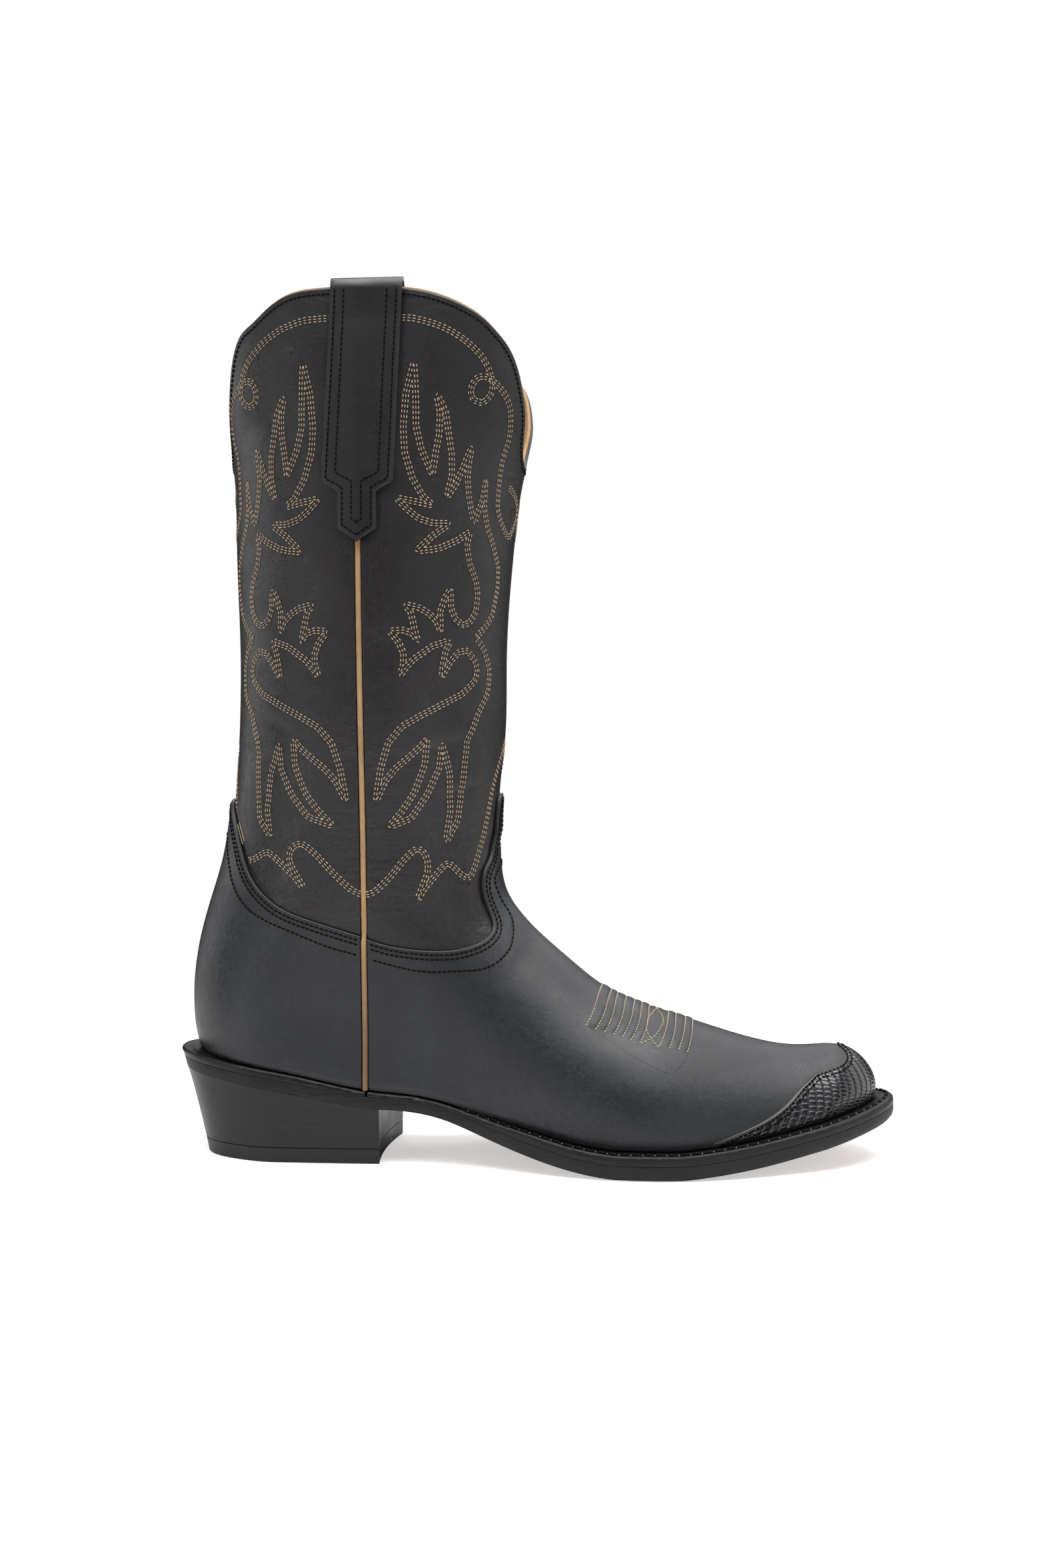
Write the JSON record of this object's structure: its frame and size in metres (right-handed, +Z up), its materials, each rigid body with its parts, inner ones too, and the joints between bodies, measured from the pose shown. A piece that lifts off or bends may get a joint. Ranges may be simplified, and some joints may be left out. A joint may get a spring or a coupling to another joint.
{
  "type": "cowboy boot",
  "caption": "Right-foot western boot: stitched leather shaft with pull straps, vamp and counter with inner stiffeners, lizard-print toe cap, welted leather sole and underslung stacked heel.",
  "frame": {"origin": "on the ground, under the middle of the heel's flat base", "axes": "+X from heel to toe, +Y to the wearer's left (the inner side of this right boot), +Z up"},
  "size_m": [0.3093, 0.1124, 0.3666],
  "materials": {
    "shaft_leather": "satin, fine grain",
    "strap_leather": "satin, stitched edge",
    "foot_leather": "polished satin",
    "cap_leather": "glossy, lizard scale",
    "lining_leather": "matt",
    "edging_leather": "matt",
    "piping_leather": "satin",
    "interlining_cloth": "woven, matt",
    "stiffener_board": "fibre board, matt",
    "insole_leather": "matt",
    "cork": "granular, matt",
    "shank_steel": "brushed",
    "welt_leather": "edge dressed, satin",
    "outsole_leather": "burnished, edges dressed black",
    "heel_leather": "stacked, edges dressed black",
    "top_lift_rubber": "matt",
    "nail_brass": "bright",
    "peg_wood": "cut end grain"
  },
  "bodies": {
    "root": {"shaft_front": "shaft_leather", "shaft_back": "shaft_leather", "pull_strap_outer": "strap_leather", "pull_strap_inner": "strap_leather", "vamp": "foot_leather", "counter": "foot_leather", "toe_cap": "cap_leather", "shaft_lining_front": "lining_leather", "shaft_lining_back": "lining_leather", "vamp_lining": "lining_leather", "counter_lining": "lining_leather", "sock_lining": "lining_leather", "top_edging_front": "edging_leather", "top_edging_back": "edging_leather", "side_piping_outer": "piping_leather", "side_piping_inner": "piping_leather", "vamp_interlining": "interlining_cloth", "toe_box": "stiffener_board", "heel_stiffener": "stiffener_board", "insole": "insole_leather", "cork_filler": "cork", "seat_filler": "cork", "shank": "shank_steel", "welt": "welt_leather", "heel_rand": "welt_leather", "outsole": "outsole_leather", "heel_lift_1": "heel_leather", "heel_lift_2": "heel_leather", "heel_lift_3": "heel_leather", "heel_lift_4": "heel_leather", "heel_top_lift": "top_lift_rubber", "heel_nail_1": "nail_brass", "heel_nail_2": "nail_brass", "heel_nail_3": "nail_brass", "heel_nail_4": "nail_brass", "heel_nail_5": "nail_brass", "waist_peg_1": "peg_wood", "waist_peg_2": "peg_wood", "waist_peg_3": "peg_wood", "waist_peg_4": "peg_wood", "waist_peg_5": "peg_wood", "waist_peg_6": "peg_wood", "waist_peg_7": "peg_wood", "waist_peg_8": "peg_wood"}
  },
  "joints": []
}
